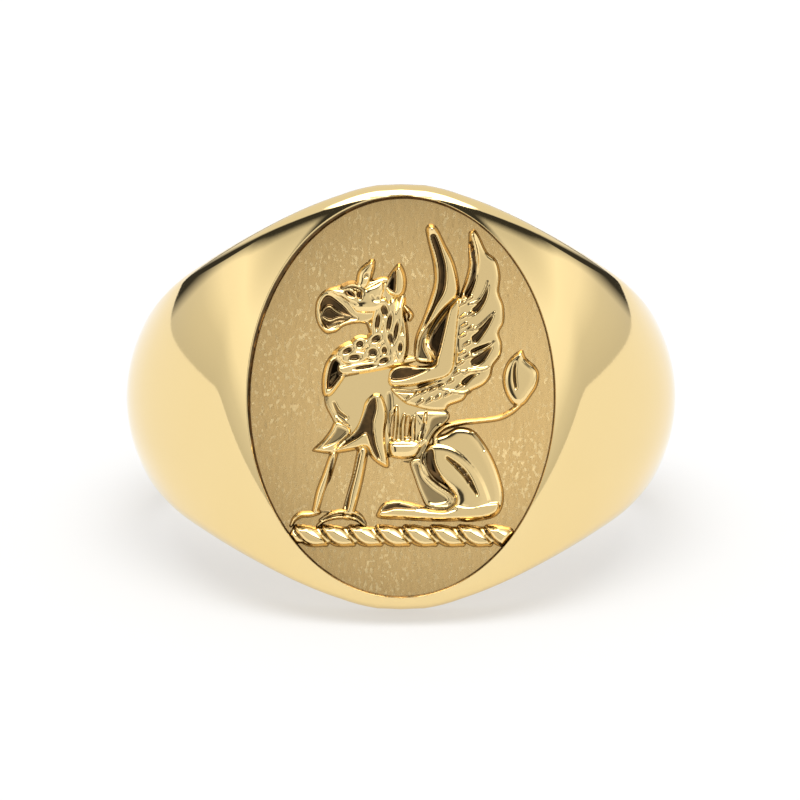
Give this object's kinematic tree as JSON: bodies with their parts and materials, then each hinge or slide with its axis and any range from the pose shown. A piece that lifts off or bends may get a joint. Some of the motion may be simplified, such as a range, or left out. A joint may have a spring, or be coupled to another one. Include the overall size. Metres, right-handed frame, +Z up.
{
  "type": "signet ring",
  "caption": "Signet ring with a tapering polished hoop, an oval table with a sunk textured ground, and a raised seated griffin on a twisted bar.",
  "frame": {"origin": "middle of the finger hole", "axes": "the ring lies on a level surface, tipped back on its head and the back of its hoop: +Z up, the table faces -Y and 17.5 degrees upwards, +X to the right of the table"},
  "size_m": [0.022, 0.0248, 0.0168],
  "materials": {
    "polished_gold": "mirror-polished yellow gold",
    "textured_gold": "cast yellow gold, satin with a fine pebbled grain",
    "relief_gold": "bright yellow gold, polished by hand on the high points"
  },
  "bodies": {
    "root": {"ring_body": "polished_gold", "oval_plate": "textured_gold", "griffin_figure": "relief_gold", "griffin_wing": "relief_gold", "twisted_bar": "relief_gold"}
  },
  "joints": []
}
